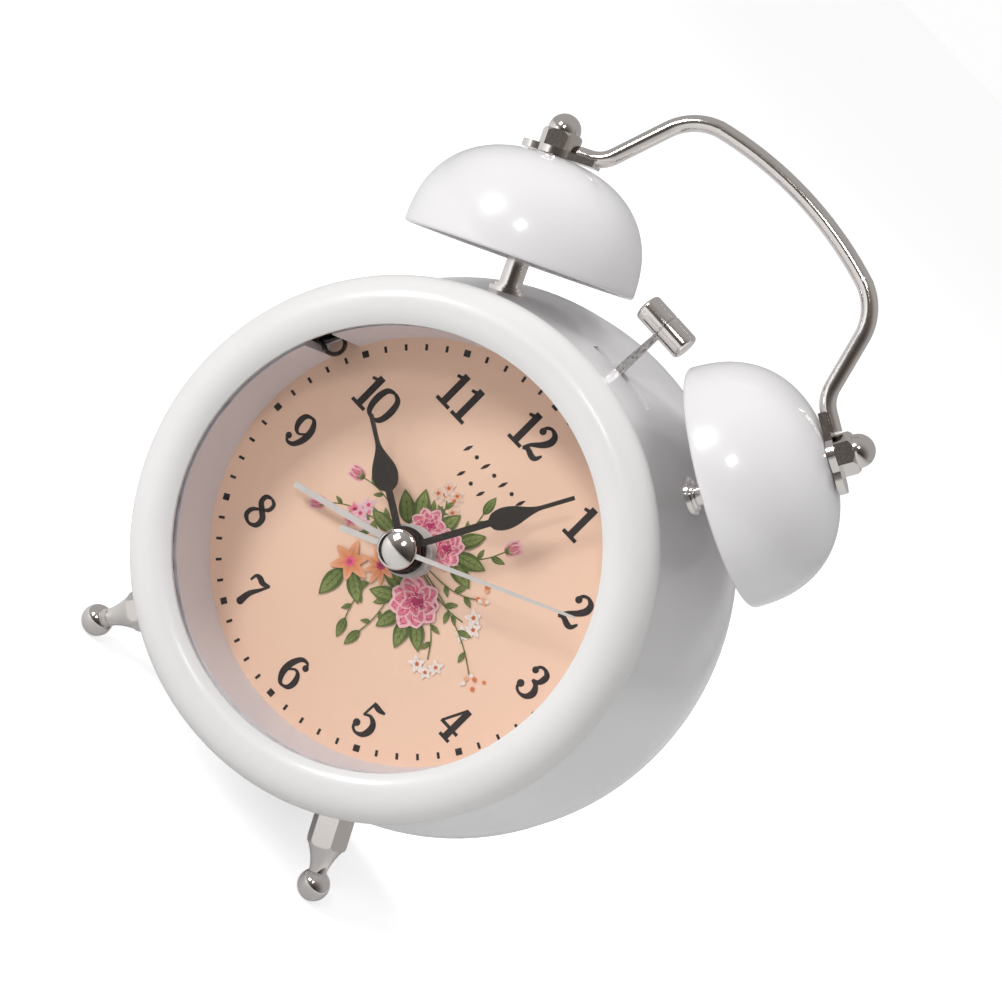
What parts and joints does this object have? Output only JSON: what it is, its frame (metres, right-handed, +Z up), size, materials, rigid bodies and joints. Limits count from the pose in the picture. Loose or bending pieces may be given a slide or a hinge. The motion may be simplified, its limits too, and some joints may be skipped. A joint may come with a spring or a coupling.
{
  "type": "alarm clock",
  "caption": "Free-standing analogue alarm clock with twin bells, a striking hammer, a wire handle, ball feet and rear setting knobs.",
  "frame": {"origin": "on the surface that the clock stands on, under the middle of its overall box", "axes": "+Z up, +Y towards the back of the clock, +X to the right as seen from the front"},
  "size_m": [0.087, 0.0576, 0.123],
  "materials": {
    "white_enamel": "gloss",
    "bezel_paint": "satin",
    "clear_lens": "gloss",
    "reflector_plastic": "satin",
    "dial_card": "matte printed card",
    "chrome": "polished",
    "plain_steel": "plain",
    "silver_hand": "satin",
    "black_hand": "satin",
    "back_plastic": "fine texture",
    "knob_plastic": "satin",
    "button_plastic": "gloss",
    "nylon": "natural",
    "wheel_brass": "satin",
    "board_green": "solder resist",
    "copper_winding": "enamelled wire",
    "magnet_black": "satin",
    "bulb_glass": "gloss",
    "cell_label": "plain sleeve"
  },
  "bodies": {
    "case": {"bezel": "bezel_paint", "lens": "clear_lens", "reflector_ring": "reflector_plastic", "dial": "dial_card", "dial_washer": "silver_hand", "dial_plate": "nylon", "case_shell": "white_enamel", "back_cover": "back_plastic", "back_screws": "plain_steel", "battery": "cell_label", "contact_positive": "plain_steel", "contact_negative": "plain_steel", "movement_front": "nylon", "movement_housing": "nylon", "circuit_board": "board_green", "stator": "plain_steel", "coil": "copper_winding", "lamp_socket": "knob_plastic", "lamp_bulb": "bulb_glass", "bell_motor": "plain_steel", "motor_bracket": "plain_steel", "bell_left": "white_enamel", "bell_right": "white_enamel", "bell_post_left": "chrome", "bell_post_right": "chrome", "bell_post_washers": "chrome", "bell_post_nuts": "plain_steel", "acorn_nut_left": "chrome", "acorn_nut_right": "chrome", "handle": "chrome", "foot_left": "chrome", "foot_right": "chrome", "foot_nuts": "plain_steel"},
    "seconds": {"second_arbor": "plain_steel", "second_hand": "silver_hand", "hand_cap": "chrome"},
    "third": {"third_wheel": "wheel_brass"},
    "minutes": {"minute_pipe": "wheel_brass", "minute_hand": "black_hand"},
    "motion": {"motion_wheel": "nylon"},
    "hours": {"hour_pipe": "nylon", "hour_hand": "black_hand"},
    "time_setting": {"time_arbor": "nylon", "time_knob": "knob_plastic"},
    "fifth": {"fifth_wheel": "wheel_brass"},
    "magnet": {"rotor": "magnet_black"},
    "alarm_setting": {"alarm_arbor": "nylon", "alarm_knob": "knob_plastic"},
    "alarm_pointer": {"alarm_pipe": "nylon", "alarm_hand": "silver_hand"},
    "hammer": {"hammer_arm": "plain_steel", "hammer_head": "chrome"},
    "striker": {"striker_cam": "nylon"},
    "light": {"light_button": "button_plastic"},
    "switch": {"alarm_switch": "knob_plastic"},
    "door": {"battery_door": "back_plastic"}
  },
  "joints": [
    {"name": "second_spin", "type": "hinge", "parent": "case", "child": "seconds", "pos_m": [0, -0.00821, 0.04692], "axis": [0, 0.9915, -0.13], "continuous": true},
    {"name": "third_spin", "type": "hinge", "parent": "case", "child": "third", "pos_m": [-0.0072, -0.00821, 0.04692], "axis": [0, 0.9915, -0.13], "continuous": true},
    {"name": "minute_spin", "type": "hinge", "parent": "case", "child": "minutes", "pos_m": [0, -0.00821, 0.04692], "axis": [0, 0.9915, -0.13], "continuous": true},
    {"name": "motion_spin", "type": "hinge", "parent": "case", "child": "motion", "pos_m": [0.00575, -0.00884, 0.04214], "axis": [0, 0.9915, -0.13], "continuous": true},
    {"name": "hour_spin", "type": "hinge", "parent": "case", "child": "hours", "pos_m": [0, -0.00821, 0.04692], "axis": [0, 0.9915, -0.13], "continuous": true},
    {"name": "time_knob_spin", "type": "hinge", "parent": "case", "child": "time_setting", "pos_m": [0.01279, -0.00917, 0.0396], "axis": [0, 0.9915, -0.13], "continuous": true},
    {"name": "fifth_spin", "type": "hinge", "parent": "case", "child": "fifth", "pos_m": [0.0035, -0.00742, 0.05293], "axis": [0, 0.9915, -0.13], "continuous": true},
    {"name": "rotor_spin", "type": "hinge", "parent": "case", "child": "magnet", "pos_m": [0.00857, -0.00718, 0.05477], "axis": [0, 0.9915, -0.13], "continuous": true},
    {"name": "alarm_knob_spin", "type": "hinge", "parent": "case", "child": "alarm_setting", "pos_m": [-0.00277, -0.0092, 0.03938], "axis": [0, 0.9915, -0.13], "continuous": true},
    {"name": "alarm_hand_spin", "type": "hinge", "parent": "case", "child": "alarm_pointer", "pos_m": [0, -0.00821, 0.04692], "axis": [0, 0.9915, -0.13], "continuous": true},
    {"name": "hammer_swing", "type": "hinge", "parent": "case", "child": "hammer", "pos_m": [0.0007, -0.00121, 0.07727], "axis": [0, 0.9915, -0.13], "range_deg": [-9.8, 5.7]},
    {"name": "striker_spin", "type": "hinge", "parent": "case", "child": "striker", "pos_m": [0.0007, -0.00509, 0.07072], "axis": [0, 0.9915, -0.13], "continuous": true},
    {"name": "light_button_push", "type": "slide", "parent": "case", "child": "light", "axis": [0, -0.9915, 0.13], "range_m": [0, 0.0015], "stiffness_N_per_m": 400, "springref_m": -0.0005},
    {"name": "alarm_switch_slide", "type": "slide", "parent": "case", "child": "switch", "axis": [1, 0, 0], "range_m": [0, 0.004]},
    {"name": "battery_door_pull", "type": "slide", "parent": "case", "child": "door", "axis": [0, 0.9915, -0.13], "range_m": [0, 0.01]}
  ],
  "couplings": [
    {"joint": "third_spin", "follows": "second_spin", "ratio": -0.125},
    {"joint": "minute_spin", "follows": "second_spin", "ratio": 0.016667},
    {"joint": "motion_spin", "follows": "second_spin", "ratio": -0.0055556},
    {"joint": "hour_spin", "follows": "second_spin", "ratio": 0.0013889},
    {"joint": "time_knob_spin", "follows": "second_spin", "ratio": 0.016667},
    {"joint": "fifth_spin", "follows": "second_spin", "ratio": -6},
    {"joint": "rotor_spin", "follows": "second_spin", "ratio": 30},
    {"joint": "alarm_hand_spin", "follows": "alarm_knob_spin", "ratio": -0.5}
  ]
}
